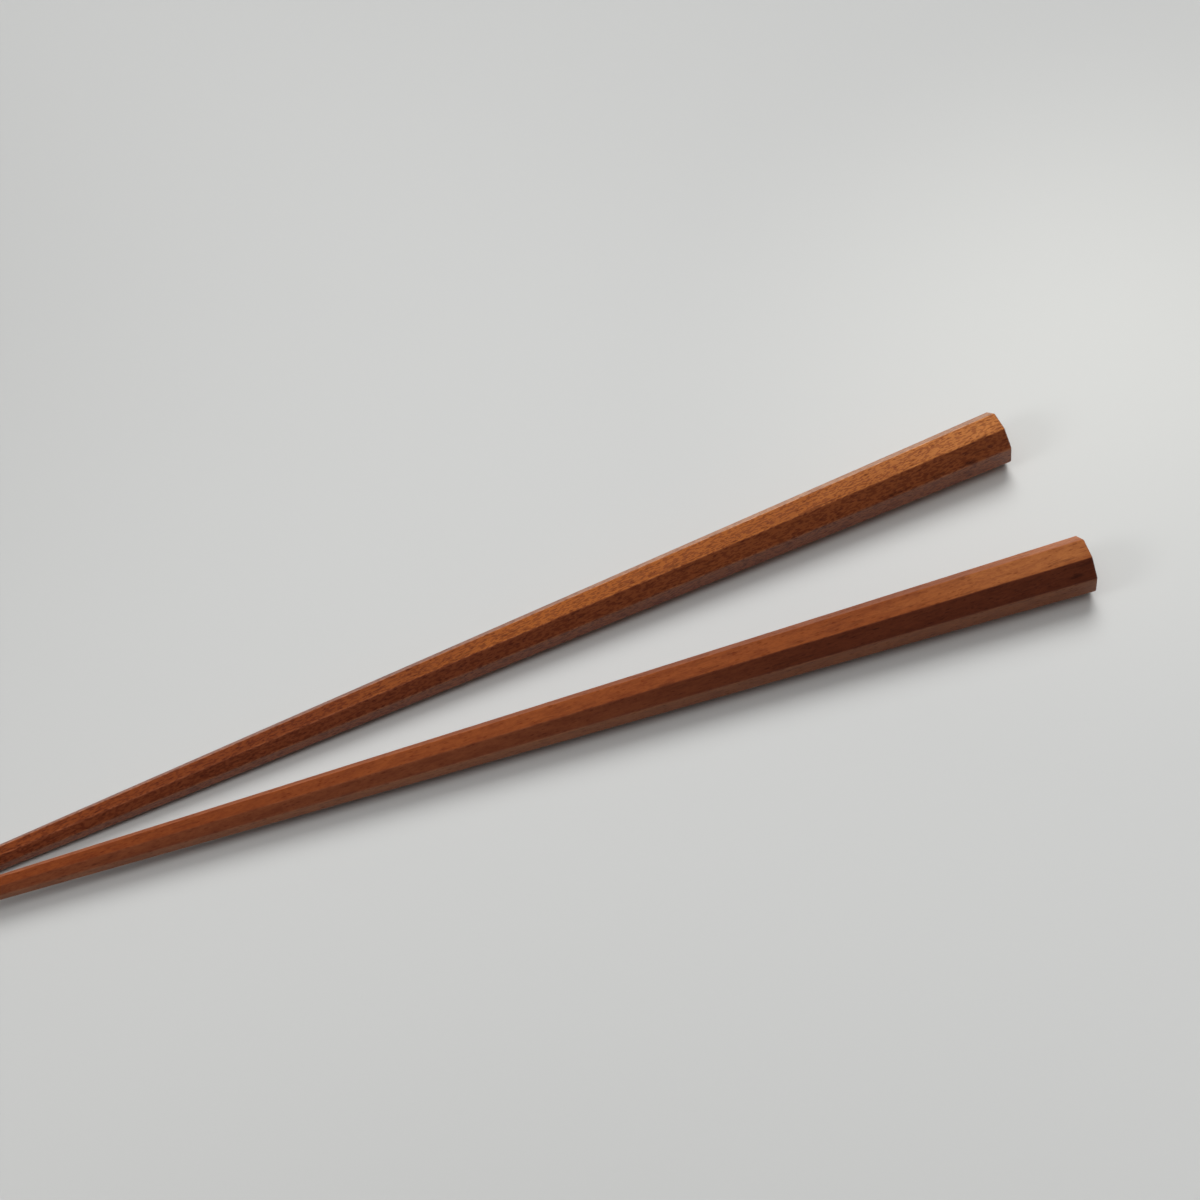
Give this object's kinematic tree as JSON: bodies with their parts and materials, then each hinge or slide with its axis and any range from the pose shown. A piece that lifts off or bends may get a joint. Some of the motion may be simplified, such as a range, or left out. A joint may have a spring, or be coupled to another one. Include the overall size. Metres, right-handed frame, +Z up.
{
  "type": "pair of octagonal chopsticks",
  "caption": "Pair of straight hardwood chopsticks of octagonal section, tapering evenly from a square-cut butt to a slim blunt tip, laid in a narrow V with crossed tips.",
  "frame": {"origin": "on the surface that the pair lies on, below the middle of its bounding box", "axes": "+X from the tips to the butts along the middle of the V, +Y towards the stick that lies flat, +Z up"},
  "size_m": [0.2319, 0.0368, 0.0086],
  "materials": {
    "far_wood": "satin, oiled reddish-brown hardwood",
    "near_wood": "satin, oiled reddish-brown hardwood, a little darker"
  },
  "bodies": {
    "root": {"far_chopstick": "far_wood", "near_chopstick": "near_wood"}
  },
  "joints": []
}
